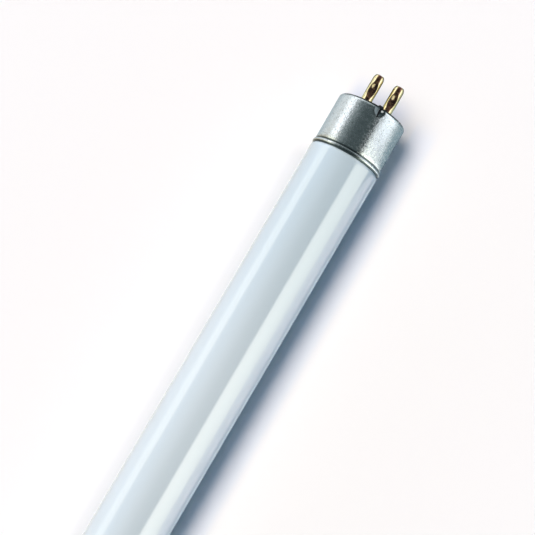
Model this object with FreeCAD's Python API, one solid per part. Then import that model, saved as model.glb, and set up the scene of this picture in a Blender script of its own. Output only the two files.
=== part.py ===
import FreeCAD, Part

import math
import os

# Miniature fluorescent tube with a two-pin cap on each end, in millimetres
#
# The tube lies along X with its middle at the origin. One end is modelled on the +X side.
# The other end is the same pieces turned half a turn about Z. Each pair of pins is in line along Y.

# Whole tube
face_to_face = 288.3  # between the end faces of the two caps
pin_reach = 7.1  # from a cap's end face to its pin tips

# Cap shell, drawn from thin aluminium sheet
cap_length = 12.0
cap_inset = 0.15  # from the outside of the glass in to the shell's
shell_wall = 0.3
cap_shoulder_radius = 0.9
lip_width = 2.05  # from the shell's outside in to its opening
bead_proud = 0.1  # from the outside of the glass out to the top of the bead
bead_width = 1.05
bead_rise = 0.35
groove_width = 0.3

# Insulating plate, held under the shell's inturned lip
plate_thickness = 1.6
plate_clearance = 0.03
boss_height = 0.4  # above the cap's end face
boss_edge_radius = 0.12
lip_clearance = 0.05

# Stakes, which press the shell into the plate and key it against turning
stake_count = 2
stake_angle = 8.7  # first stake, from +Z toward -Y
stake_radius = 2.2
stake_depth = 0.45
stake_drop = 0.7  # from the end face to the deepest point
slit_width = 0.45
slit_length = 2.3
key_width = 1.1
key_inset = 0.7  # from the shell's outside in to the outer end of a key
key_clearance = 0.05

# Contact pins, hollow and riveted through the plate
pin_pitch = 4.75
pin_diameter = 2.36
pin_wall = 0.48
shank_diameter = 2.0
shank_clearance = 0.01
rivet_diameter = 3.4
rivet_thickness = 0.35
tip_length = 1.0
tip_diameter = 1.7
tip_hole_diameter = 0.9
crimp_radius = 5.0
crimp_height = 3.6  # from the cap's end face to the crimp's middle
crimp_clearance = 0.02
swell = 0.02  # how far the crimp pushes the rest of the barrel out
swell_length = 4.0

# Glass tube, blown and sealed as one piece
glass_diameter = 15.5
glass_wall = 1.0
cement_thickness = 0.4
neck_length = 4.7  # from the cap's mouth to the end of the glass rim
shoulder_setback = 0.6  # from the cap's mouth back to where the glass starts to narrow
shoulder_radius = 0.8
shoulder_turn = 60.0
neck_taper = 1.2
rim_radius = 0.5
stem_diameter = 6.6
stem_wall = 0.8
stem_depth = 6.0  # from the cap's mouth back to the outer face of the press
press_length = 3.0
exhaust_diameter = 3.0
exhaust_bore = 1.5
exhaust_reach = 8.6  # from the cap's mouth to the sealed tip
exhaust_nib_diameter = 0.5  # flat left where the flame sealed the tip

# Cement and wires inside the cap
cement_start = 1.6  # from the cap's mouth
cement_length = 2.4
wire_diameter = 0.6
wire_setback = 0.1  # behind the pin's tip

# Stations and radii that follow from the sizes above
end_x = face_to_face / 2
mouth_x = end_x - cap_length
lip_back_x = end_x - shell_wall
plate_back_x = lip_back_x - plate_thickness
boss_x = end_x + boss_height
tip_x = end_x + pin_reach
press_x = mouth_x - stem_depth
glass_r = glass_diameter / 2
cap_r = glass_r - cap_inset
shell_in_r = cap_r - shell_wall
foot_r = glass_r + bead_proud - bead_rise
dent_in_r = cap_r - stake_depth - shell_wall
opening_r = cap_r - lip_width
boss_r = opening_r - lip_clearance
key_r = cap_r - key_inset
neck_r = shell_in_r - cement_thickness
pin_r = pin_diameter / 2
bore_r = pin_r - pin_wall
wire_r = wire_diameter / 2
past = 1.0  # how far a cutting solid runs past what it cuts

ORIGIN = FreeCAD.Vector(0, 0, 0)
ALONG = FreeCAD.Vector(1, 0, 0)
UP = FreeCAD.Vector(0, 0, 1)


# Drawing and turning of half sections


def at(x, r):
    """A point of a half section: x along the axis and r away from it."""
    return FreeCAD.Vector(x, 0, r)


def turn(x, r, radius, start, end):
    """The (through, end) points of an arc about (x, r), by angles in degrees from outward toward +X."""
    def spot(degrees):
        angle = math.radians(degrees)
        return at(x + radius * math.sin(angle), r + radius * math.cos(angle))
    return spot((start + end) / 2), spot(end)


def revolve(start, *steps):
    """Turn a closed outline about X. A step is a point, or the (through, end) points of an arc."""
    edges = []
    here = start
    for step in steps:
        if isinstance(step, tuple):
            edges.append(Part.Arc(here, *step).toShape())
            here = step[1]
        else:
            edges.append(Part.makeLine(here, step))
            here = step
    edges.append(Part.makeLine(here, start))
    return Part.Face(Part.Wire(edges)).revolve(ORIGIN, ALONG, 360)


def rounding_radius(length, drop):
    """Radius of an arc that starts along the axis and falls by drop over length."""
    return (length ** 2 + drop ** 2) / (2 * drop)


def half_turned(solid):
    """A copy turned half a turn about Z, which brings it from the +X end to the -X end."""
    copy = solid.copy()
    copy.rotate(ORIGIN, UP, 180)
    return copy


def both_halves(half):
    """A solid drawn from x = 0 to +X, joined to its turned copy."""
    return half.fuse(half_turned(half)).removeSplitter()


# Glass tube


def glass_outside():
    """The outer skin: tube, narrowed neck, re-entrant stem and the sealed tip of its exhaust tube."""
    cosine = math.cos(math.radians(shoulder_turn))
    hollow_radius = (glass_r - neck_r) / (1 - cosine) - shoulder_radius
    shoulder_x = mouth_x - shoulder_setback
    both = shoulder_radius + hollow_radius
    hollow_x = shoulder_x + both * math.sin(math.radians(shoulder_turn))
    rim_x = mouth_x + neck_length
    exhaust_r = exhaust_diameter / 2
    dome_x = mouth_x + exhaust_reach - exhaust_r
    dome_turn = math.degrees(math.acos(exhaust_nib_diameter / exhaust_diameter))
    nib_x = dome_x + exhaust_r * math.sin(math.radians(dome_turn))
    return revolve(
        at(0, 0),
        at(0, glass_r),
        at(shoulder_x, glass_r),
        turn(shoulder_x, glass_r - shoulder_radius, shoulder_radius, 0, shoulder_turn),
        turn(hollow_x, neck_r + hollow_radius, hollow_radius, 180 + shoulder_turn, 180),
        at(rim_x - rim_radius, neck_r),
        turn(rim_x - rim_radius, neck_r - rim_radius, rim_radius, 0, 90),
        at(rim_x, neck_r - glass_wall),
        at(mouth_x, stem_diameter / 2),
        at(press_x, stem_diameter / 2),
        at(press_x, exhaust_r),
        at(dome_x, exhaust_r),
        turn(dome_x, 0, exhaust_r, 0, dome_turn),
        at(nib_x, 0),
    )


def glass_inside():
    """The sealed space: the tube's bore, the ring round each stem and the bore of its exhaust tube."""
    bore = glass_r - glass_wall
    neck_bore = neck_r - glass_wall
    stem_r = stem_diameter / 2
    slope = math.atan2(neck_r - glass_wall - stem_r, neck_length)
    bend_x = mouth_x - stem_wall * math.tan(slope / 2)
    flare_x = mouth_x + (neck_bore - stem_r - stem_wall / math.cos(slope)) / math.tan(slope)
    press_back_x = press_x - press_length
    exhaust_end_x = mouth_x + exhaust_reach - exhaust_diameter / 2
    return revolve(
        at(0, 0),
        at(0, bore),
        at(mouth_x - neck_taper, bore),
        at(mouth_x + neck_taper / 2, neck_bore),
        at(flare_x, neck_bore),
        at(bend_x, stem_r + stem_wall),
        at(press_back_x, stem_r + stem_wall),
        at(press_back_x, exhaust_bore / 2),
        at(exhaust_end_x, exhaust_bore / 2),
        at(exhaust_end_x, 0),
    )


def glass_tube():
    return both_halves(glass_outside()).cut(both_halves(glass_inside()))


# Stakes, shared by the shell and the plate


def round_the_rim(solid):
    """One copy of a solid drawn at +Z for each stake."""
    copies = []
    for i in range(stake_count):
        copy = solid.copy()
        copy.rotate(ORIGIN, ALONG, stake_angle + 360 * i / stake_count)
        copies.append(copy)
    return copies


def stake_balls(extra):
    """The punch's round nose, grown by extra."""
    depth_r = cap_r - stake_depth
    centre = FreeCAD.Vector(end_x - stake_drop, 0, depth_r + stake_radius)
    return round_the_rim(Part.makeSphere(stake_radius + extra, centre, ALONG))


def rim_blocks(width, low_r, high_r, low_x, high_x):
    """A straight-sided block across the rim for each stake."""
    corner = FreeCAD.Vector(low_x, -width / 2, low_r)
    return round_the_rim(Part.makeBox(high_x - low_x, width, high_r - low_r, corner))


# Cap shell


def bead(inset):
    """The start and the (through, end) points of the bead's arc, or of one that lies inset inside it."""
    radius = rounding_radius(bead_width / 2, bead_rise)
    half_turn = math.degrees(math.asin(bead_width / 2 / radius))
    centre = (mouth_x + bead_width / 2, foot_r + bead_rise - radius, radius - inset)
    return turn(*centre, 0, -half_turn)[1], turn(*centre, -half_turn, half_turn)


def cap_shoulder(inset):
    """The start and the (through, end) points of the arc between the shell's side and its end face."""
    centre = (end_x - cap_shoulder_radius, cap_r - cap_shoulder_radius, cap_shoulder_radius - inset)
    return at(centre[0], cap_r - inset), turn(*centre, 0, 90)


def shell_outside():
    return revolve(
        at(mouth_x, 0),
        *bead(0),
        at(mouth_x + bead_width + groove_width, cap_r),
        *cap_shoulder(0),
        at(end_x, 0),
    )


def shell_inside():
    return revolve(
        at(mouth_x - past, 0),
        at(mouth_x - past, foot_r),
        at(mouth_x, foot_r),
        *bead(shell_wall),
        at(mouth_x + bead_width, foot_r - shell_wall),
        at(mouth_x + bead_width + groove_width, shell_in_r),
        *cap_shoulder(shell_wall),
        at(lip_back_x, opening_r),
        at(end_x + past, opening_r),
        at(end_x + past, 0),
    )


def cap_shell():
    """The drawn shell, with a bead at its mouth, an inturned lip and a slit and a dent at each stake."""
    inside = shell_inside().cut(stake_balls(shell_wall))
    shell = shell_outside().cut(stake_balls(0)).cut(inside)
    slit_foot_r = dent_in_r - key_clearance
    slits = rim_blocks(slit_width, slit_foot_r, cap_r + past, end_x - slit_length, end_x + past)
    key_slots = rim_blocks(
        key_width + 2 * key_clearance,
        opening_r - past,
        key_r + key_clearance,
        lip_back_x - key_clearance,
        end_x + past,
    )
    return shell.cut(slits).cut(key_slots)


# Insulating plate


def insulating_plate():
    """The moulded plate, with a boss through the shell's opening and a key at each stake."""
    rim_r = shell_in_r - plate_clearance
    corner = cap_shoulder_radius - shell_wall
    disc = revolve(
        at(plate_back_x, 0),
        at(plate_back_x, rim_r),
        at(lip_back_x - corner, rim_r),
        turn(lip_back_x - corner, rim_r - corner, corner, 0, 90),
        at(lip_back_x, boss_r),
        at(boss_x - boss_edge_radius, boss_r),
        turn(boss_x - boss_edge_radius, boss_r - boss_edge_radius, boss_edge_radius, 0, 90),
        at(boss_x, 0),
    )
    keys = rim_blocks(key_width, boss_r - past, key_r, lip_back_x - key_clearance, boss_x)
    hole_r = shank_diameter / 2 + shank_clearance
    holes = [
        Part.makeCylinder(
            hole_r,
            boss_x - plate_back_x + 2 * past,
            FreeCAD.Vector(plate_back_x - past, side * pin_pitch / 2, 0),
            ALONG,
        )
        for side in (-1, 1)
    ]
    return disc.cut(stake_balls(shell_wall + plate_clearance)).fuse(keys).cut(holes)


# Contact pins


def crimp_balls(extra):
    """The two punches that crimp a pin on to its wire, one from above and one from below."""
    depth = pin_r - pin_wall - wire_r - crimp_clearance
    lift = pin_r - depth + crimp_radius
    centres = [FreeCAD.Vector(end_x + crimp_height, 0, side * lift) for side in (-1, 1)]
    return [Part.makeSphere(crimp_radius + extra, centre, ALONG) for centre in centres]


def contact_pin():
    """A pin on the X axis: rivet head, shank through the plate, crimped barrel and rounded open tip."""
    rivet_x = plate_back_x - rivet_thickness
    tip_r = tip_diameter / 2
    hole_r = tip_hole_diameter / 2
    crimp_x = end_x + crimp_height
    tip_radius = rounding_radius(tip_length, pin_r - tip_r)
    tip_turn = math.degrees(math.asin(tip_length / tip_radius))
    outside = revolve(
        at(rivet_x, 0),
        at(rivet_x, rivet_diameter / 2),
        at(plate_back_x, rivet_diameter / 2),
        at(plate_back_x, shank_diameter / 2),
        at(boss_x, shank_diameter / 2),
        at(boss_x, pin_r),
        at(crimp_x - swell_length / 2, pin_r),
        at(crimp_x, pin_r + swell),
        at(crimp_x + swell_length / 2, pin_r),
        at(tip_x - tip_length, pin_r),
        turn(tip_x - tip_length, pin_r - tip_radius, tip_radius, 0, tip_turn),
        at(tip_x, 0),
    )
    bore_end_x = tip_x - pin_wall - (bore_r - hole_r)
    inside = revolve(
        at(rivet_x - past, 0),
        at(rivet_x - past, bore_r),
        at(bore_end_x, bore_r),
        at(tip_x - pin_wall, hole_r),
        at(tip_x + past, hole_r),
        at(tip_x + past, 0),
    )
    return outside.cut(crimp_balls(0)).cut(inside.cut(crimp_balls(pin_wall)))


# Pieces sealed inside a cap


def cement_ring():
    """The cement between the neck of the glass and the shell."""
    low_x = mouth_x + cement_start
    high_x = low_x + cement_length
    return revolve(
        at(low_x, neck_r),
        at(low_x, shell_in_r),
        at(high_x, shell_in_r),
        at(high_x, neck_r),
    )


def lead_wire():
    """A wire on the X axis, from the press of the glass stem to the tip of its pin."""
    length = tip_x - wire_setback - press_x
    return Part.makeCylinder(wire_r, length, at(press_x, 0), ALONG)


# Build and export


def beside_axis(solid, side):
    """A copy of a solid drawn on the X axis, moved to a pin's place."""
    copy = solid.copy()
    copy.translate(FreeCAD.Vector(0, side * pin_pitch / 2, 0))
    return copy


def end_pieces(front):
    """The pieces of the +X end, by name. The front pin is drawn on the -Y side where front is -1."""
    pieces = {
        "cap_shell": cap_shell(),
        "insulating_plate": insulating_plate(),
        "cement_ring": cement_ring(),
    }
    for place, side in (("front", front), ("back", -front)):
        pieces["contact_pin_" + place] = beside_axis(contact_pin(), side)
        pieces["lead_wire_" + place] = beside_axis(lead_wire(), side)
    return pieces


def main():
    os.makedirs("parts", exist_ok=True)
    nodes = {"glass_tube": glass_tube()}
    for name, solid in end_pieces(-1).items():
        nodes["right_" + name] = solid
    for name, solid in end_pieces(1).items():
        nodes["left_" + name] = half_turned(solid)
    for name, solid in nodes.items():
        solid.exportStep("parts/" + name + ".step")
        box = solid.BoundBox
        print(name, len(solid.Solids), solid.isValid(), round(solid.Volume, 2),
              [round(v, 2) for v in (box.XLength, box.YLength, box.ZLength)])


main()
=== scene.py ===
import math

import bpy
from mathutils import Matrix, Vector


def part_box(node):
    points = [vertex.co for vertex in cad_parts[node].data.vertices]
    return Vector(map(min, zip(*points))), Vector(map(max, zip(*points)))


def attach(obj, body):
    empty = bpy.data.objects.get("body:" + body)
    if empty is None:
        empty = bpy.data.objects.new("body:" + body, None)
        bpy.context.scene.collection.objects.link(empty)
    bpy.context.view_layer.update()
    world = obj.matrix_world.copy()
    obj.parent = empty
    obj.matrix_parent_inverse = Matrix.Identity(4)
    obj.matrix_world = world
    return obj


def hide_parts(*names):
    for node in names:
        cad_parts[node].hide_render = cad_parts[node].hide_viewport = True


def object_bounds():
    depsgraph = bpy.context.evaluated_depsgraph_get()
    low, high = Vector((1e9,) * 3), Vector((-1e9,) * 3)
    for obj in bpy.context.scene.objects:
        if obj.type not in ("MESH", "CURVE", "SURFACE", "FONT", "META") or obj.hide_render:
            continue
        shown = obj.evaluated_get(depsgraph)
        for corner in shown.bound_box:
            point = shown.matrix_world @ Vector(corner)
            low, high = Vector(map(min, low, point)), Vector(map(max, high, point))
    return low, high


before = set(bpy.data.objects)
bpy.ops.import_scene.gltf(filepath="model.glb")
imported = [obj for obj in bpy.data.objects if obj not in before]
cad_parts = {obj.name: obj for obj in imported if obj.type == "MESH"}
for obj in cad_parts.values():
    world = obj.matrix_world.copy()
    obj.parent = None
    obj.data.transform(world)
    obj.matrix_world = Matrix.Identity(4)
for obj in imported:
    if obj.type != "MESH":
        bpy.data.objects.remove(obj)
cad_box = [list(corner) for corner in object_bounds()]

# Sizes in metres and angles in radians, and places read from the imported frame

mm = 0.001

shell_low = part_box("right_cap_shell")[0]
plate_low, plate_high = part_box("right_insulating_plate")
pin_low, pin_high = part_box("right_contact_pin_front")
wire_low, wire_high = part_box("right_lead_wire_front")
glass_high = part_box("glass_tube")[1]

# Places along the tube
cap_length = 12.0 * mm
mouth_x = shell_low.x
end_x = mouth_x + cap_length
boss_x = plate_high.x
plate_back_x = plate_low.x
rivet_x = pin_low.x
tip_x = pin_high.x
floor_z = cad_box[0][2]

# Outside of the glass, and cap shell
glass_r = 7.75 * mm
cap_r = 7.6 * mm
wall = 0.3 * mm
bead_width = 1.05 * mm
bead_rise = 0.35 * mm
foot_r = 7.5 * mm
groove_width = 0.3 * mm
groove_steps = [(0.1 * mm, 0.02 * mm), (0.2 * mm, 0.075 * mm)]
cap_shoulder = 0.9 * mm
opening_r = 5.55 * mm
shell_edge = 0.04 * mm

# Stakes, and the slit and key at each
stake_angles = [math.radians(8.7), math.radians(188.7)]
stake_radius = 2.2 * mm
stake_depth = 0.45 * mm
stake_drop = 0.7 * mm
stake_reach = 3 * mm
stake_spread = 0.35
dent_r = 6.5 * mm
slit_width = 0.45 * mm
slit_length = 2.3 * mm
lip_depth = 0.1 * mm
key_width = 1.1 * mm
key_r = 6.9 * mm
key_root = 1.0 * mm
key_gap = 0.05 * mm
key_edge = 0.08 * mm

# Insulating plate
boss_r = 5.5 * mm
boss_edge = 0.12 * mm
plate_gap = 0.03 * mm
plate_edge = 0.1 * mm
back_disc_r = 3.6 * mm
front_disc_r = 3.8 * mm
hole_gap = 0.01 * mm
hole_depth = 6 * mm

# Contact pins
pin_pitch = 4.75 * mm
pin_r = 1.18 * mm
pin_wall = 0.48 * mm
bore_r = pin_r - pin_wall
shank_r = 1.0 * mm
rivet_r = 1.7 * mm
pin_edge = 0.08 * mm
tip_length = 1.0 * mm
tip_r = 0.85 * mm
hole_r = 0.45 * mm
crimp_radius = 5.0 * mm
crimp_depth = 0.38 * mm
crimp_rise = 3.6 * mm
crimp_x = end_x + crimp_rise
swell = 0.02 * mm
swell_length = 4.0 * mm

# Ends of the glass, inside the caps
neck_r = 6.9 * mm
neck_length = 4.7 * mm
shoulder_setback = 0.6 * mm
shoulder_radius = 0.8 * mm
shoulder_degrees = 60
rim_radius = 0.5 * mm
glass_wall = 1.0 * mm
stem_r = 3.3 * mm
press_x = wire_low.x
exhaust_r = 1.5 * mm
exhaust_reach = 8.6 * mm
nib_r = 0.25 * mm

# Lead wires
wire_r = 0.3 * mm
wire_edge = 0.1 * mm

# Fineness of the meshes
cap_turns = 288
pin_turns = 96
wire_turns = 32
weld = 0.002 * mm
smooth_angle = math.radians(35)
sharp_angle = math.radians(60)


# Modelling tools


def deselect():
    bpy.ops.object.select_all(action="DESELECT")


def pick(piece):
    """Make one piece the active and only selected one."""
    deselect()
    piece.select_set(True)
    bpy.context.view_layer.objects.active = piece


def arc(x, r, radius, start, end, steps):
    """Points of an arc about (x, r), by angles in degrees from outward toward +X."""
    angles = [math.radians(start + (end - start) * i / steps) for i in range(steps + 1)]
    return [(x + radius * math.sin(a), r + radius * math.cos(a)) for a in angles]


def run(start, end, steps):
    """Evenly spaced points after start up to end."""
    return [
        (start[0] + (end[0] - start[0]) * i / steps, start[1] + (end[1] - start[1]) * i / steps)
        for i in range(1, steps + 1)
    ]


def turned(name, points, turns):
    """A piece turned about the X axis from the outline that runs through the (x, r) points."""
    deselect()
    bpy.ops.mesh.primitive_plane_add(size=mm, location=(points[0][0], 0, points[0][1]))
    piece = bpy.context.object
    piece.name = name
    piece.data.name = name
    bpy.ops.object.mode_set(mode="EDIT")
    bpy.ops.mesh.select_mode(type="VERT")
    bpy.ops.mesh.merge(type="CENTER")
    for (x, r), (next_x, next_r) in zip(points, points[1:]):
        step = (next_x - x, 0, next_r - r)
        bpy.ops.mesh.extrude_region_move(TRANSFORM_OT_translate={"value": step})
    bpy.ops.mesh.select_all(action="SELECT")
    bpy.ops.mesh.spin(steps=turns, angle=2 * math.pi, center=(0, 0, 0), axis=(1, 0, 0))
    bpy.ops.mesh.select_all(action="SELECT")
    bpy.ops.mesh.remove_doubles(threshold=weld)
    bpy.ops.mesh.normals_make_consistent(inside=False)
    bpy.ops.object.mode_set(mode="OBJECT")
    bpy.ops.object.transform_apply(location=True, rotation=True, scale=True)
    return piece


def block(name, width, low_r, high_r, low_x, high_x, angle):
    """A box across the rim at one stake, from low_r to high_r, turned about the tube's axis."""
    deselect()
    centre = Vector(((low_x + high_x) / 2, 0, (low_r + high_r) / 2))
    bpy.ops.mesh.primitive_cube_add(size=1, location=centre)
    piece = bpy.context.object
    piece.name = name
    piece.scale = (high_x - low_x, width, high_r - low_r)
    bpy.ops.object.transform_apply(location=True, rotation=True, scale=True)
    piece.data.transform(Matrix.Rotation(angle, 4, "X"))
    return piece


def ball(name, radius, centre, angle):
    """A round-nosed punch, turned about the tube's axis."""
    deselect()
    bpy.ops.mesh.primitive_ico_sphere_add(subdivisions=7, radius=radius, location=centre)
    piece = bpy.context.object
    piece.name = name
    bpy.ops.object.transform_apply(location=True, rotation=True, scale=True)
    piece.data.transform(Matrix.Rotation(angle, 4, "X"))
    return piece


def modify(piece, kind, **settings):
    """Add a modifier and apply it."""
    pick(piece)
    modifier = piece.modifiers.new(kind.lower(), kind)
    for key, value in settings.items():
        setattr(modifier, key, value)
    bpy.ops.object.modifier_apply(modifier=modifier.name)


def group(piece, name, chosen):
    """A vertex group of the vertices whose place passes the test."""
    made = piece.vertex_groups.new(name=name)
    made.add([v.index for v in piece.data.vertices if chosen(v.co)], 1.0, "REPLACE")
    return made.name


def press(piece, punch, gap, where):
    """Push a piece's skin off a punch, so that it keeps the gap from it."""
    modify(
        piece, "SHRINKWRAP", target=punch, wrap_method="NEAREST_SURFACEPOINT",
        wrap_mode="OUTSIDE", offset=gap, vertex_group=where,
    )


def select_faces(piece, chosen):
    """Select the faces whose centre passes the test, and no others."""
    pick(piece)
    bpy.ops.object.mode_set(mode="EDIT")
    bpy.ops.mesh.select_all(action="DESELECT")
    bpy.ops.mesh.select_mode(type="FACE")
    bpy.ops.object.mode_set(mode="OBJECT")
    for face in piece.data.polygons:
        face.select = chosen(face.center)
    bpy.ops.object.mode_set(mode="EDIT")


def score(piece, chosen, point, normal):
    """Divide the chosen faces along a plane."""
    select_faces(piece, chosen)
    bpy.ops.mesh.bisect(plane_co=point, plane_no=normal)
    bpy.ops.object.mode_set(mode="OBJECT")


def remove_faces(piece, chosen):
    select_faces(piece, chosen)
    bpy.ops.mesh.delete(type="FACE")
    bpy.ops.object.mode_set(mode="OBJECT")


def cut(piece, tool, operation="DIFFERENCE"):
    """Cut a tool out of a piece, or join it on."""
    modify(piece, "BOOLEAN", object=tool, operation=operation, solver="EXACT")
    discard(tool)


def discard(tool):
    bpy.data.objects.remove(tool, do_unlink=True)


def smooth(piece):
    """Shade the piece smooth, but for its sharp edges."""
    pick(piece)
    bpy.ops.object.shade_smooth_by_angle(angle=smooth_angle)


def copied(piece, name):
    """A copy with its own mesh."""
    copy = piece.copy()
    copy.data = piece.data.copy()
    copy.name = name
    copy.data.name = name
    bpy.context.scene.collection.objects.link(copy)
    return copy


def settle(piece, node, material):
    """Let a finished piece stand for its node, in its finish."""
    piece.data.materials.clear()
    piece.data.materials.append(material)
    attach(piece, "root")
    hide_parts(node)


# Glass tube


def glass_tube():
    """The outer skin of the bulb, with its necks, pressed stems and sealed exhaust tips."""
    cosine = math.cos(math.radians(shoulder_degrees))
    sine = math.sin(math.radians(shoulder_degrees))
    hollow_radius = (glass_r - neck_r) / (1 - cosine) - shoulder_radius
    shoulder_x = mouth_x - shoulder_setback
    hollow_x = shoulder_x + (shoulder_radius + hollow_radius) * sine
    rim_x = mouth_x + neck_length
    dome_x = mouth_x + exhaust_reach - exhaust_r
    dome_turn = math.degrees(math.acos(nib_r / exhaust_r))
    half = [
        *run((0, glass_r), (shoulder_x, glass_r), 16),
        *arc(shoulder_x, glass_r - shoulder_radius, shoulder_radius, 0, shoulder_degrees, 10),
        *arc(hollow_x, neck_r + hollow_radius, hollow_radius, 180 + shoulder_degrees, 180, 8)[1:],
        *arc(rim_x - rim_radius, neck_r - rim_radius, rim_radius, 0, 90, 6),
        (rim_x, neck_r - glass_wall),
        (mouth_x, stem_r),
        (press_x, stem_r),
        (press_x, exhaust_r),
        *arc(dome_x, 0, exhaust_r, 0, dome_turn, 10),
        (glass_high.x, 0),
    ]
    other_half = [(-x, r) for x, r in reversed(half)]
    piece = turned("glass_bulb", other_half + [(0, glass_r)] + half, cap_turns)
    smooth(piece)
    return piece


# Cap shell


def stake_punches():
    depth_r = cap_r - stake_depth
    centre = (end_x - stake_drop, 0, depth_r + stake_radius)
    return [ball("stake_punch", stake_radius, centre, angle) for angle in stake_angles]


def near_stake(point):
    """Is a point of the shell or the plate near one of the stakes?"""
    angle = math.atan2(-point.y, point.z)
    return point.x > end_x - stake_reach and any(
        abs(math.remainder(angle - stake, 2 * math.pi)) < stake_spread for stake in stake_angles
    )


def open_slit(piece, angle):
    """Open a slit down the shell at one stake, and the slot in its lip that the plate's key fills."""
    out = Matrix.Rotation(angle, 3, "X") @ Vector((0, 0, 1))
    side = Matrix.Rotation(angle, 3, "X") @ Vector((0, 1, 0))
    slit_x = end_x - slit_length
    lip_x = end_x - lip_depth
    slot_r = key_r + key_gap
    slot_half = key_width / 2 + key_gap

    def near(point):
        return near_stake(point) and point.dot(out) > 0

    def on_lip(point):
        return point.x > lip_x and point.dot(out) > 0

    def opened(point):
        aside = abs(point.dot(side))
        in_slit = near(point) and aside < slit_width / 2 and point.x > slit_x
        return in_slit or (on_lip(point) and aside < slot_half and point.dot(out) < slot_r)

    for half in (-slit_width / 2, slit_width / 2):
        score(piece, near, side * half, side)
    score(piece, near, (slit_x, 0, 0), (1, 0, 0))
    for half in (-slot_half, slot_half):
        score(piece, on_lip, side * half, side)
    score(piece, on_lip, out * slot_r, out)
    remove_faces(piece, opened)


def cap_shell():
    """Thin drawn metal: bead, side, rounded shoulder and lip, with the stakes pressed in and slit."""
    bead_radius = ((bead_width / 2) ** 2 + bead_rise ** 2) / (2 * bead_rise)
    bead_turn = math.degrees(math.asin(bead_width / 2 / bead_radius))
    bead_x = mouth_x + bead_width / 2
    groove_x = mouth_x + bead_width
    side_start = (groove_x + groove_width, cap_r)
    stake_start = (end_x - stake_reach, cap_r)
    side_end = (end_x - cap_shoulder, cap_r)
    outline = [
        *arc(bead_x, foot_r + bead_rise - bead_radius, bead_radius, -bead_turn, bead_turn, 14),
        *[(groove_x + step, foot_r + rise) for step, rise in groove_steps],
        side_start,
        *run(side_start, stake_start, 12),
        *run(stake_start, side_end, 18),
        *arc(side_end[0], cap_r - cap_shoulder, cap_shoulder, 0, 90, 14)[1:],
        *run((end_x, cap_r - cap_shoulder), (end_x, opening_r), 10),
    ]
    piece = turned("right_cap_shell_drawn", outline, cap_turns)
    where = group(piece, "stakes", near_stake)
    for punch in stake_punches():
        press(piece, punch, 0, where)
        discard(punch)
    modify(piece, "SMOOTH", factor=0.5, iterations=3, vertex_group=where)
    for angle in stake_angles:
        open_slit(piece, angle)
    modify(piece, "SOLIDIFY", thickness=wall, offset=-1, use_even_offset=True)
    modify(piece, "BEVEL", width=shell_edge, segments=2, limit_method="ANGLE", angle_limit=sharp_angle)
    smooth(piece)
    return piece


# Insulating plate


def insulating_plate():
    """Moulded plate with a boss through the shell's opening, a key at each stake and two pin holes."""
    rim_r = cap_r - wall - plate_gap
    corner = cap_shoulder - wall
    lip_back_x = end_x - wall
    outline = [
        (plate_back_x, 0),
        (plate_back_x, back_disc_r),
        (plate_back_x, rim_r - plate_edge),
        (plate_back_x + plate_edge, rim_r),
        *run((plate_back_x + plate_edge, rim_r), (lip_back_x - corner, rim_r), 8),
        *arc(lip_back_x - corner, rim_r - corner, corner, 0, 90, 8)[1:],
        (lip_back_x, boss_r),
        (boss_x - boss_edge, boss_r),
        *arc(boss_x - boss_edge, boss_r - boss_edge, boss_edge, 0, 90, 5)[1:],
        (boss_x, front_disc_r),
        (boss_x, 0),
    ]
    piece = turned("right_insulating_plate_moulded", outline, cap_turns)
    where = group(piece, "stakes", lambda point: near_stake(point) and point.yz.length > dent_r)
    for punch in stake_punches():
        press(piece, punch, wall + plate_gap, where)
        discard(punch)
    for angle in stake_angles:
        key_low_x = lip_back_x - key_gap
        key = block("key_tool", key_width, boss_r - key_root, key_r, key_low_x, boss_x, angle)
        modify(key, "BEVEL", width=key_edge, segments=3)
        cut(piece, key, "UNION")
    for side in (-1, 1):
        deselect()
        bpy.ops.mesh.primitive_cylinder_add(
            vertices=pin_turns,
            radius=shank_r + hole_gap,
            depth=hole_depth,
            location=(end_x, side * pin_pitch / 2, 0),
            rotation=(0, math.pi / 2, 0),
        )
        cut(piece, bpy.context.object)
    smooth(piece)
    return piece


# Contact pins


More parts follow.
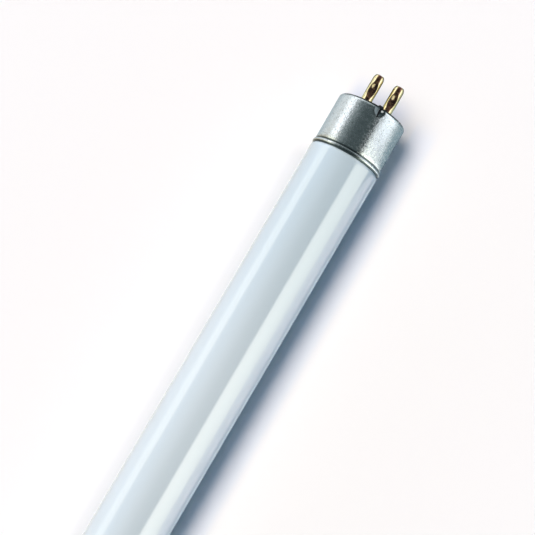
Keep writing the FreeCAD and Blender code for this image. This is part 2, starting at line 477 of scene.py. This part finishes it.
def contact_pin():
    """A hollow brass pin on the X axis, with its rivet head, crimps and rounded open tip."""
    tip_radius = (tip_length ** 2 + (pin_r - tip_r) ** 2) / (2 * (pin_r - tip_r))
    tip_turn = math.degrees(math.asin(tip_length / tip_radius))
    barrel_end_x = tip_x - tip_length
    bore_end_x = tip_x - pin_wall - (bore_r - hole_r)
    swell_start = (crimp_x - swell_length / 2, pin_r)
    swell_end = (crimp_x + swell_length / 2, pin_r)
    rivet_edge = 2 * pin_edge
    outline = [
        (rivet_x, bore_r),
        (rivet_x, rivet_r - rivet_edge),
        *arc(rivet_x + rivet_edge, rivet_r - rivet_edge, rivet_edge, -90, 0, 6)[1:],
        (plate_back_x, rivet_r),
        (plate_back_x, shank_r),
        (boss_x, shank_r),
        (boss_x, pin_r - pin_edge / 2),
        (boss_x + pin_edge / 2, pin_r),
        *run((boss_x + pin_edge / 2, pin_r), swell_start, 12),
        *run(swell_start, (crimp_x, pin_r + swell), 24),
        *run((crimp_x, pin_r + swell), swell_end, 24),
        *run(swell_end, (barrel_end_x, pin_r), 5),
        *arc(barrel_end_x, pin_r - tip_radius, tip_radius, 0, tip_turn, 10)[1:],
        (tip_x, hole_r + pin_edge),
        *arc(tip_x - pin_edge, hole_r + pin_edge, pin_edge, 90, 180, 5)[1:],
        (tip_x - pin_wall, hole_r),
        (bore_end_x, bore_r),
        *run((bore_end_x, bore_r), (crimp_x - swell_length / 2, bore_r), 50),
        (boss_x, bore_r),
        (rivet_x, bore_r),
    ]
    piece = turned("contact_pin", outline, pin_turns)
    skin_r = (pin_r + bore_r) / 2
    barrel = group(piece, "barrel", lambda point: point.x > boss_x and point.yz.length > skin_r)
    bore = group(piece, "bore", lambda point: point.x > boss_x and point.yz.length < skin_r)
    for angle in (0, math.pi):
        centre = (crimp_x, 0, pin_r - crimp_depth + crimp_radius)
        punch = ball("crimp_punch", crimp_radius, centre, angle)
        press(piece, punch, 0, barrel)
        press(piece, punch, pin_wall, bore)
        discard(punch)
    near_crimps = group(piece, "crimps", lambda point: abs(point.x - crimp_x) < swell_length / 2)
    modify(piece, "SMOOTH", factor=0.5, iterations=2, vertex_group=near_crimps)
    smooth(piece)
    return piece


# Lead wires


def lead_wire():
    """A straight wire on the X axis, with a rounded end."""
    round_x = wire_high.x - wire_edge
    outline = [
        (press_x, 0),
        (press_x, wire_r),
        *run((press_x, wire_r), (round_x, wire_r), 12),
        *arc(round_x, wire_r - wire_edge, wire_edge, 0, 90, 5)[1:],
        (wire_high.x, 0),
    ]
    piece = turned("lead_wire", outline, wire_turns)
    smooth(piece)
    return piece


# Finishes. Their patterns are laid out in millimetres

mouth_mm = mouth_x / mm
end_mm = end_x / mm
crimp_mm = crimp_x / mm
half_pitch_mm = pin_pitch / mm / 2


class Wire:
    """A socket of a finish. Arithmetic on it adds Math nodes."""

    def __init__(self, finish, socket):
        self.finish = finish
        self.socket = socket

    def maths(self, operation, *values):
        return self.finish.node("Math", {"operation": operation}, dict(enumerate(values)))

    def __add__(self, other):
        return self.maths("ADD", self, other)

    def __radd__(self, other):
        return self.maths("ADD", other, self)

    def __sub__(self, other):
        return self.maths("SUBTRACT", self, other)

    def __rsub__(self, other):
        return self.maths("SUBTRACT", other, self)

    def __mul__(self, other):
        return self.maths("MULTIPLY", self, other)

    def __rmul__(self, other):
        return self.maths("MULTIPLY", other, self)

    def __pow__(self, other):
        return self.maths("POWER", self, other)

    def least(self, other):
        return self.maths("MINIMUM", self, other)

    def size(self):
        return self.maths("ABSOLUTE", self)

    def sign(self):
        return self.maths("SIGN", self)


class Finish:
    """A node tree for a material or the world."""

    def __init__(self, owner):
        owner.use_nodes = True
        self.tree = owner.node_tree
        self.tree.nodes.clear()

    def node(self, kind, settings=None, inputs=None, output=0):
        """Any node: its type, its settings, then the values or links of its sockets."""
        made = self.tree.nodes.new("ShaderNode" + kind)
        for key, value in (settings or {}).items():
            setattr(made, key, value)
        for key, value in (inputs or {}).items():
            if isinstance(value, Wire):
                self.tree.links.new(value.socket, made.inputs[key])
            else:
                made.inputs[key].default_value = value
        return Wire(self, made.outputs[output])

    def place(self, scale=(1, 1, 1)):
        """Object coordinates in millimetres, stretched by scale."""
        coordinates = self.node("TexCoord", output="Object")
        return self.node(
            "Mapping", {}, {"Vector": coordinates, "Scale": [part / mm for part in scale]}
        )

    def part(self, axis):
        """One object coordinate, in millimetres."""
        return self.node("SeparateXYZ", {}, {0: self.place()}, output=axis)

    def noise(self, scale, detail=3.0, roughness=0.5, stretch=(1, 1, 1)):
        """Noise with a scale in patches per millimetre."""
        return self.node(
            "TexNoise",
            {},
            {"Vector": self.place(stretch), "Scale": scale, "Detail": detail, "Roughness": roughness},
        )

    def ramp(self, value, low, high):
        """A smooth rise from 0 where value is low to 1 where it is high."""
        return self.node(
            "MapRange",
            {"interpolation_type": "SMOOTHSTEP"},
            {"Value": value, "From Min": low, "From Max": high},
        )

    def fall(self, value, low, high):
        """A smooth fall from 1 where value is low to 0 where it is high."""
        return 1 - self.ramp(value, low, high)

    def band(self, value, begins, full, fades, ends):
        """A strip of 1 with a soft edge on each side."""
        return self.ramp(value, begins, full) * self.fall(value, fades, ends)

    def blend(self, share, one, other):
        """A colour from one to other by share."""
        return self.node("Mix", {"data_type": "RGBA"}, {"Factor": share, 6: one, 7: other}, output=2)

    def layers(self, colour, *covers):
        """A colour under others, each with the share that it covers."""
        for share, cover in covers:
            colour = self.blend(share, colour, cover)
        return colour

    def bump(self, height, distance, strength=1.0):
        return self.node("Bump", {}, {"Height": height, "Distance": distance, "Strength": strength})

    def ray(self, kind):
        """1 where the finish is seen by one kind of ray, such as Camera or Glossy."""
        return self.node("LightPath", output=f"Is {kind} Ray")

    def close(self, output, shader, inputs):
        """End the tree with its shader and its output."""
        last = self.node(shader, {}, inputs)
        made = self.tree.nodes.new("ShaderNodeOutput" + output)
        self.tree.links.new(last.socket, made.inputs["Surface"])


def finish_of(name):
    material = bpy.data.materials.new(name)
    return material, Finish(material)


def length_of(one, other):
    """The length of a slant, from its two sides."""
    return (one * one + other * other) ** 0.5


def coated_glass():
    """Clear glass over a white powder coat, with its colour a little darker and greyer toward the ends.
    """
    material, finish = finish_of("coated_glass")
    middle = (0.68, 0.77, 0.805, 1)
    ends = (0.57, 0.685, 0.735, 1)
    speck = (0.62, 0.70, 0.76, 1)
    grey_length = 60
    greyed = finish.ramp(finish.part("X").size(), mouth_mm - grey_length, mouth_mm)
    clouds = finish.noise(0.12, detail=4.0, roughness=0.6, stretch=(0.4, 1, 1))
    powder = finish.noise(6.0, detail=2.0)
    white = finish.blend(greyed * 0.9 + clouds * 0.1, middle, ends)
    finish.close(
        "Material",
        "BsdfPrincipled",
        {
            "Base Color": finish.blend(finish.ramp(powder, 0.62, 0.8) * 0.25, white, speck),
            "Roughness": 0.3 + powder * 0.1,
            "Diffuse Roughness": 0.25,
            "IOR": 1.5,
            "Coat Weight": 1.0,
            "Coat Roughness": 0.04,
            "Coat IOR": 2.0,
            "Normal": finish.bump(clouds, 0.02 * mm, strength=0.3),
        },
    )
    return material


def stake_marks(finish):
    """1 in the painted shade of the stake dents of either cap, and 1 in the painted glint beside each
    slit.
    """
    stake_r = 7.5
    stake_inset = 0.9
    spot_aside = 0.5
    spot_outward = 0.25
    x, y, z = (finish.part(axis) for axis in "XYZ")
    aside = y * x.sign() * z.sign() + stake_r * math.sin(stake_angles[0])
    inward = x.size() - (end_mm - stake_inset)
    outer = finish.ramp(z.size(), 5, 6)
    # Painted shade in the dent round each stake.
    stake_shade = finish.fall(length_of(aside, inward), 1.0, 1.6)
    # Painted glint: a small pale spot beside each slit.
    slit_glint = finish.fall(length_of(aside + spot_aside, inward - spot_outward), 0.15, 0.35)
    return stake_shade * outer, slit_glint * outer


def cap_aluminium():
    """Drawn aluminium, pitted and rubbed, with painted shade under the bead, on it, in the groove, on the
    rim and in the stake dents, and a painted glint by each slit.
    """
    material, finish = finish_of("cap_aluminium")
    darker = (0.60, 0.655, 0.66, 1)
    lighter = (0.69, 0.735, 0.735, 1)
    dull = (0.42, 0.48, 0.48, 1)
    pit = (0.17, 0.21, 0.21, 1)
    # Colour of the painted shade.
    painted_shade = (0.065, 0.088, 0.093, 1)
    grain = finish.noise(2.6, detail=6.0, roughness=0.65)
    pits = finish.ramp(finish.noise(3.0, roughness=0.6), 0.58, 0.68)
    lines = finish.noise(4.0, stretch=(0.08, 1, 1))
    patches = finish.noise(0.35)
    mottle = finish.noise(1.1, detail=5.0, roughness=0.7)
    rubbed = finish.ramp(finish.noise(1.9, detail=5.0, roughness=0.75), 0.42, 0.62)

    groove_middle = 1.08
    from_mouth = finish.part("X").size() - mouth_mm
    aside = finish.part("Y").size()
    # Painted shade: at the foot under the bead, on the top and bottom of the bead, in the groove, and
    # along the top and bottom of the rim.
    foot = finish.fall(from_mouth, 0.28, 0.42)
    bead = finish.fall(from_mouth, 0.85, 0.95) * finish.fall(aside, 2.8, 4.4)
    groove = finish.fall((from_mouth - groove_middle).size(), 0.14, 0.3)
    rim = finish.ramp(from_mouth, 11.5, 11.66) * finish.fall(aside, 4.2, 5.6)
    stake_shade, slit_glint = stake_marks(finish)
    # Painted shade on the bead and in the stake dents, left off the painted glint.
    marks = bead * (0.2 + grain * 0.5) + stake_shade * 0.9 * (1 - slit_glint)
    shade_share = foot * (0.75 + grain * 0.5) + groove * 0.95 + marks + rim * 0.95
    colour = finish.layers(
        darker,
        (patches, lighter),
        (finish.ramp(mottle, 0.48, 0.62) * 0.2, dull),
        (pits * 0.8, pit),
        (shade_share.least(1.0), painted_shade),
    )
    height = mottle * 0.6 + grain * 0.7 + lines * 0.15
    finish.close(
        "Material",
        "BsdfPrincipled",
        {
            "Base Color": colour,
            # The painted glint is less metallic and rougher, so that it shows pale.
            "Metallic": 1.0 - slit_glint * 0.7,
            "Roughness": 0.10 + rubbed * 0.2 + pits * 0.1 + slit_glint * 0.45,
            "Normal": finish.bump(height, 0.075 * mm, strength=0.8),
        },
    )
    return material


def pin_brass():
    """Brass drawn along the pin and tarnished in patches, with a painted dark reflection along its top
    and bottom that widens in each crimp, and a painted highlight, a pale matt spot, in each crimp.
    """
    material, finish = finish_of("pin_brass")
    clean = (0.98, 0.85, 0.48, 1)
    tarnished = (0.86, 0.70, 0.33, 1)
    # Colours of the painted dark reflection.
    strip_dark = (0.15, 0.075, 0.06, 1)
    strip_light = (0.55, 0.30, 0.16, 1)
    spot_outward = 0.85
    spot_aside = 0.28
    spot_narrowing = 0.55
    x, y, z = (finish.part(axis) for axis in "XYZ")
    lines = finish.noise(9.0, stretch=(0.12, 1, 1))
    tarnish = finish.ramp(finish.noise(1.3, detail=4.0, roughness=0.6), 0.45, 0.7)
    mottle = finish.noise(2.4, detail=4.0, roughness=0.7)

    from_crimp = x.size() - crimp_mm
    aside = (y.size() - half_pitch_mm).size()
    # Painted dark reflection: a strip along the top and bottom of the pin, widest in the crimp.
    dent = finish.fall(from_crimp.size(), 0.4, 2.2)
    band_edge = 0.38 + dent * 0.26
    painted_strip = finish.fall(aside - band_edge, 0, 0.22) * finish.ramp(z.size(), 0.3, 0.5)
    # Painted highlight: a pale matt spot in each crimp, where the brass is less metallic and rougher.
    spot_x = (from_crimp - spot_outward) * spot_narrowing
    spot_y = y - y.sign() * half_pitch_mm - spot_aside
    crimp_glint = finish.fall(length_of(spot_x, spot_y) + (mottle - 0.5) * 0.9, 0.12, 0.36)

    brass = finish.blend(tarnish, clean, tarnished)
    strip_colour = finish.blend(finish.ramp(mottle, 0.45, 0.7), strip_dark, strip_light)
    finish.close(
        "Material",
        "BsdfPrincipled",
        {
            "Base Color": finish.blend(painted_strip * (1.0 - crimp_glint), brass, strip_colour),
            "Metallic": 1.0 - crimp_glint * 0.55,
            "Roughness": 0.13 + tarnish * 0.1 + lines * 0.06 + crimp_glint * 0.35 + painted_strip * mottle * 0.3,
            "Normal": finish.bump(lines, 0.01 * mm, strength=0.5),
        },
    )
    return material


def plate_black():
    """Dark moulded resin with a fine matt grain and a little dust."""
    material, finish = finish_of("plate_black")
    resin = (0.016, 0.017, 0.020, 1)
    dusty = (0.050, 0.050, 0.052, 1)
    grain = finish.noise(5.0, detail=4.0, roughness=0.6)
    dust = finish.ramp(finish.noise(1.2, detail=5.0, roughness=0.6), 0.5, 0.8)
    finish.close(
        "Material",
        "BsdfPrincipled",
        {
            "Base Color": finish.blend(dust, resin, dusty),
            "Roughness": 0.5 + grain * 0.2,
            "Specular IOR Level": 0.25,
            "Normal": finish.bump(grain, 0.02 * mm, strength=0.4),
        },
    )
    return material


def cement():
    """Baked resin cement, mealy and uneven."""
    material, finish = finish_of("cement")
    baked = (0.58, 0.49, 0.36, 1)
    chalky = (0.80, 0.73, 0.60, 1)
    meal = finish.noise(3.0, detail=5.0, roughness=0.7)
    finish.close(
        "Material",
        "BsdfPrincipled",
        {
            "Base Color": finish.blend(meal, baked, chalky),
            "Roughness": 0.75 + meal * 0.2,
            "Normal": finish.bump(meal, 0.05 * mm),
        },
    )
    return material


def wire_nickel():
    """Nickel-plated wire with fine lines along it."""
    material, finish = finish_of("wire_nickel")
    darker = (0.50, 0.48, 0.45, 1)
    lighter = (0.66, 0.64, 0.61, 1)
    lines = finish.noise(12.0, stretch=(0.1, 1, 1))
    finish.close(
        "Material",
        "BsdfPrincipled",
        {
            "Base Color": finish.blend(lines, darker, lighter),
            "Metallic": 1.0,
            "Roughness": 0.25 + lines * 0.15,
            "Normal": finish.bump(lines, 0.01 * mm, strength=0.5),
        },
    )
    return material


# Studio

view_tilt = math.radians(11.4)
view_slope = math.tan(view_tilt)
card_distance = 25 * mm
card_length = 1.0


def camera():
    """A long lens from above, where the photograph was taken."""
    lean = math.radians(30.28)
    distance = 4.0
    view_width = 110.08 * mm
    aim_back = 39.6 * mm
    aim_aside = 2.6 * mm
    aim = Vector((end_x - aim_back, aim_aside, 0))
    along = Vector((math.cos(view_tilt), 0, math.sin(view_tilt)))
    across = Vector((0, -1, 0))
    right = math.sin(lean) * along + math.cos(lean) * across
    up = math.cos(lean) * along - math.sin(lean) * across
    back = right.cross(up)
    data = bpy.data.cameras.new("camera")
    data.sensor_width = 36
    data.lens = data.sensor_width * distance / view_width
    data.clip_start = 0.1
    data.clip_end = 100
    made = bpy.data.objects.new("camera", data)
    bpy.context.scene.collection.objects.link(made)
    turn = Matrix((right, up, back)).transposed().to_4x4()
    made.matrix_world = Matrix.Translation(aim + back * distance) @ turn
    bpy.context.scene.camera = made


def key_light():
    """A long soft lamp above and to the left of the tube: three round ones in a row."""
    strength = 1.107
    warm = (1.0, 0.925, 0.86)
    width = math.radians(28)
    aside = math.tan(math.radians(24))
    for part, degrees in (("left", -20), ("middle", -5), ("right", 10)):
        name = "key_light_" + part
        data = bpy.data.lights.new(name, "SUN")
        data.energy = strength
        data.color = warm
        data.angle = width
        lamp = bpy.data.objects.new(name, data)
        bpy.context.scene.collection.objects.link(lamp)
        toward = Vector((math.tan(math.radians(degrees)), aside, 1))
        lamp.rotation_euler = toward.to_track_quat("Z", "Y").to_euler()
        lamp.visible_glossy = False


def studio_air():
    """White for the camera, a pale blue fill, and for gloss a dark ceiling over a pale horizon."""
    world = bpy.data.worlds.new("studio")
    bpy.context.scene.world = world
    finish = Finish(world)
    horizon = (0.56, 0.62, 0.64, 1)
    ceiling = (0.078, 0.10, 0.105, 1)
    fill_right = (0.85, 1.47, 2.17, 1)
    fill_left = (1.45, 1.98, 3.15, 1)
    fill_above = (0.0, 0.02, 0.05, 1)
    direction = finish.node("TexCoord", output="Generated")
    height = finish.node("SeparateXYZ", {}, {0: direction}, output="Z")
    side = finish.node("SeparateXYZ", {}, {0: direction}, output="Y")
    in_gloss = finish.blend(finish.ramp(height, 0.25, 0.95), horizon, ceiling)
    fill = finish.layers(
        fill_right,
        (finish.ramp(side, -0.5, 0.5), fill_left),
        (finish.ramp(height, 0.0, 0.4), fill_above),
    )
    colour = finish.layers(fill, (finish.ray("Glossy"), in_gloss), (finish.ray("Camera"), (1, 1, 1, 1)))
    finish.close("World", "Background", {"Color": colour, "Strength": 1.0})


def shown_at(finish):
    """How far from the tube's middle a point of the stage shows in its gloss, in millimetres."""
    x, y, z = (finish.part(axis) for axis in "XYZ")
    return x.size() - length_of(y, z) * view_slope


def past_mouth(finish, along):
    """0 beside the glass and 1 beside the caps."""
    return finish.ramp(along, mouth_mm - 1, mouth_mm + 1)


def floor_in_gloss(finish):
    """The floor as the tube mirrors it: painted strips of light and shade along it, some brighter than
    white, and painted dark past its end.
    """
    aside = finish.part("Y")
    along = shown_at(finish)
    by_cap = finish.layers(
        (0.53, 0.64, 0.68, 1),
        (finish.ramp(aside, -70, -14), (0.34, 0.45, 0.51, 1)),
        (finish.ramp(aside, 0, 32), (0.98, 1.03, 1.05, 1)),
    )
    by_glass = finish.layers(
        (1.8, 1.82, 1.83, 1),
        (finish.ramp(aside, -27, -16), (0.64, 0.74, 0.80, 1)),
        (finish.ramp(aside, -15.5, -12), (1.5, 1.58, 1.6, 1)),
        (finish.ramp(aside, 0, 15), (0.68, 0.64, 0.52, 1)),
    )
    past_end = finish.ramp(along, end_mm + 1, end_mm + 6) * finish.fall(aside.size(), 10, 30)
    by_end = finish.blend(past_end, by_cap, (0.10, 0.11, 0.10, 1))
    return finish.blend(past_mouth(finish, along), by_glass, by_end)


def floor_in_view(finish):
    """The floor as the camera sees it: white, with painted shade to the left of the glass, a painted
    bluer tint in the shadow, a painted darker line where the glass meets its shadow, and painted shade
    round the pins."""
    aside = finish.part("Y")
    along = finish.part("X").size()
    # Painted shade and tint, seen by the camera only; the pins and lead wires cast no shadow of their
    # own.
    left = finish.band(aside, 0, 7, 7.2, 13) * finish.fall(along, mouth_mm - 3, mouth_mm + 4)
    shadow = finish.band(aside, -15, -13.2, -9.6, -8.8) * finish.fall(along, end_mm + 1, end_mm + 6)
    contact_shade = finish.band(aside, -9.2, -7.9, 0, 2) * finish.fall(along, mouth_mm - 3, mouth_mm + 3)
    pin_shade = finish.band(aside, -9, -3.5, 4.5, 7.5) * finish.band(along - end_mm, -4, 0, 3, 8.6)
    return finish.layers(
        (1.0, 1.0, 1.0, 1),
        (left, (0.78, 0.79, 0.80, 1)),
        (shadow, (0.97, 1.0, 1.07, 1)),
        (contact_shade, (0.82, 0.85, 0.86, 1)),
        (pin_shade, (0.82, 0.86, 0.96, 1)),
    )


def floor():
    """A wide pale floor that keeps its shadows. Fill, gloss and the camera each see their own colours."""
    deselect()
    bpy.ops.mesh.primitive_plane_add(size=80, location=(0, 0, floor_z))
    piece = bpy.context.object
    piece.name = "floor"
    material, finish = finish_of("floor")
    fill = (0.45, 0.47, 0.49, 1)
    colour = finish.layers(
        fill,
        (finish.ray("Glossy"), floor_in_gloss(finish)),
        (finish.ray("Camera"), floor_in_view(finish)),
    )
    finish.close("Material", "BsdfDiffuse", {"Color": colour})
    piece.data.materials.append(material)


def card(name, side, low, cap_fade, glass_fade, middle, ends, mouths, rims):
    """An upright card beside the tube that shows in the gloss only. It fades to black upward, and each
    stretch of the tube has its own colour. Heights are in millimetres."""
    middle_length = 40
    mouth_length = 9
    low_z = low * mm
    top_z = cap_fade[1] * mm
    deselect()
    bpy.ops.mesh.primitive_plane_add(size=1)
    piece = bpy.context.object
    piece.name = name
    piece.data.transform(Matrix.Rotation(math.pi / 2, 4, "X"))
    piece.data.transform(Matrix.Diagonal((card_length, 1, top_z - low_z, 1)))
    piece.data.transform(Matrix.Translation((0, side * card_distance, (low_z + top_z) / 2)))
    material, finish = finish_of(name)
    along = shown_at(finish)
    height = finish.part("Z")
    by_cap = past_mouth(finish, along)
    fade = finish.ramp(height, *cap_fade) * by_cap + finish.ramp(height, *glass_fade) * (1 - by_cap)
    on_caps = finish.blend(finish.ramp(along, mouth_mm, mouth_mm + mouth_length), mouths, rims)
    glow = finish.layers(
        middle,
        (finish.ramp(along, middle_length, mouth_mm), ends),
        (by_cap, on_caps),
        (fade, (0, 0, 0, 1)),
    )
    finish.close("Material", "Emission", {"Color": glow, "Strength": 1.0})
    piece.data.materials.append(material)
    piece.visible_camera = False
    piece.visible_diffuse = False
    piece.visible_shadow = False
    piece.visible_transmission = False


def cards():
    """The two long highlights: a narrow one on the left and a wide one on the right."""
    card(
        "left_card",
        side=1,
        low=5.5,
        cap_fade=(15.4, 19),
        glass_fade=(16.6, 18.4),
        middle=(1.3, 1.27, 1.05, 1),
        ends=(1.45, 1.42, 1.2, 1),
        mouths=(1.75, 1.75, 1.9, 1),
        rims=(1.7, 1.7, 1.75, 1),
    )
    card(
        "right_card",
        side=-1,
        low=5.95,
        cap_fade=(20.5, 59),
        glass_fade=(31, 46),
        middle=(2.64, 2.59, 2.28, 1),
        ends=(2.37, 2.37, 2.1, 1),
        mouths=(0.55, 0.57, 0.68, 1),
        rims=(1.56, 1.6, 1.68, 1),
    )


# Putting it together


def main():
    camera()
    brass = pin_brass()
    nickel = wire_nickel()
    aluminium = cap_aluminium()
    resin = plate_black()
    baked = cement()

    settle(glass_tube(), "glass_tube", coated_glass())

    half_turn = Matrix.Rotation(math.pi, 4, "Z")
    for master, part, slot, material in (
        (cap_shell(), "cap_shell", "cap_aluminium", aluminium),
        (insulating_plate(), "insulating_plate", "plate_black", resin),
    ):
        other = copied(master, master.name.replace("right", "left"))
        other.data.transform(half_turn)
        settle(master, "right_" + part, material)
        settle(other, "left_" + part, material)

    for master, part, slot, material in (
        (contact_pin(), "contact_pin", "pin_brass", brass),
        (lead_wire(), "lead_wire", "wire", nickel),
    ):
        for end, turn in (("right", Matrix.Identity(4)), ("left", half_turn)):
            for place, side in (("front", -1), ("back", 1)):
                node = end + "_" + part + "_" + place
                piece = copied(master, node + "_turned")
                piece.data.transform(Matrix.Translation((0, side * pin_pitch / 2, 0)) @ turn)
                piece.visible_shadow = False
                settle(piece, node, material)
        discard(master)

    for node in ("right_cement_ring", "left_cement_ring"):
        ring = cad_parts[node]
        ring.data.materials.clear()
        ring.data.materials.append(baked)

    floor()
    cards()
    key_light()
    studio_air()
    bpy.context.scene.view_settings.view_transform = "Standard"


main()
